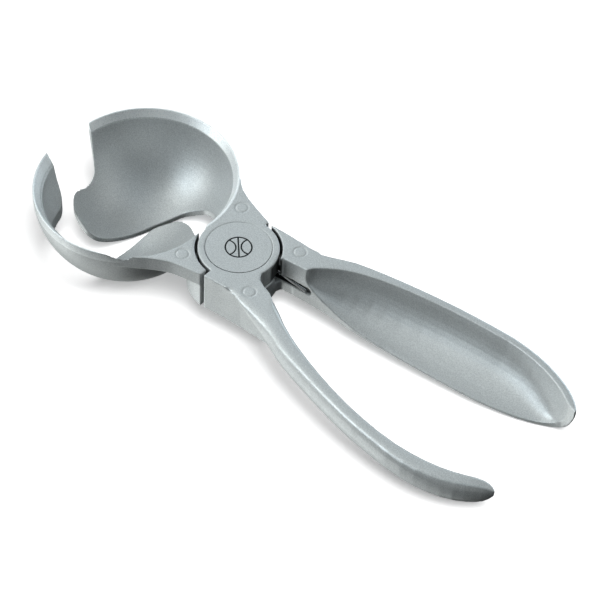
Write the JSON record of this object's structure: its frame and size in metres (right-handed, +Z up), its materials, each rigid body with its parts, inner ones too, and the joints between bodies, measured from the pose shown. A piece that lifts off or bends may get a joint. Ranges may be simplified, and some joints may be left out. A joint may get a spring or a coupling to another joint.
{
  "type": "nutcracker",
  "caption": "Plier-type nutcracker: crossed cast levers on a sprung pivot, a half bowl and a claw that close round the nut, a wide trough-shaped handle and a slim curved handle.",
  "frame": {"origin": "on the pivot axis, at the flat underside of the hub", "axes": "+X from the pivot to the handles, +Y to the side of the half bowl and the wide trough-shaped handle, +Z up along the pivot axis to the capped top of the hub; drawn at rest, sprung open"},
  "size_m": [0.1973, 0.071, 0.032],
  "materials": {
    "cast_metal": "satin",
    "steel": "brushed",
    "bronze": "satin",
    "washer": "matte"
  },
  "bodies": {
    "bowl_side": {"bowl_lever": "cast_metal", "medallion": "cast_metal", "pivot_bolt": "steel", "head_washer": "steel", "nut_washer": "steel", "pivot_nut": "steel", "torsion_spring": "steel"},
    "claw_side": {"claw_lever": "cast_metal", "pivot_bush": "bronze", "lap_washer": "washer", "bottom_cap": "cast_metal"}
  },
  "joints": [
    {"name": "pivot", "type": "hinge", "parent": "bowl_side", "child": "claw_side", "pos_m": [0, 0, 0.0077], "axis": [0, 0, 1], "range_deg": [-11, 2.5], "stiffness_Nm_per_rad": 0.4, "springref_deg": 2.5, "deforming": ["torsion_spring"]}
  ]
}
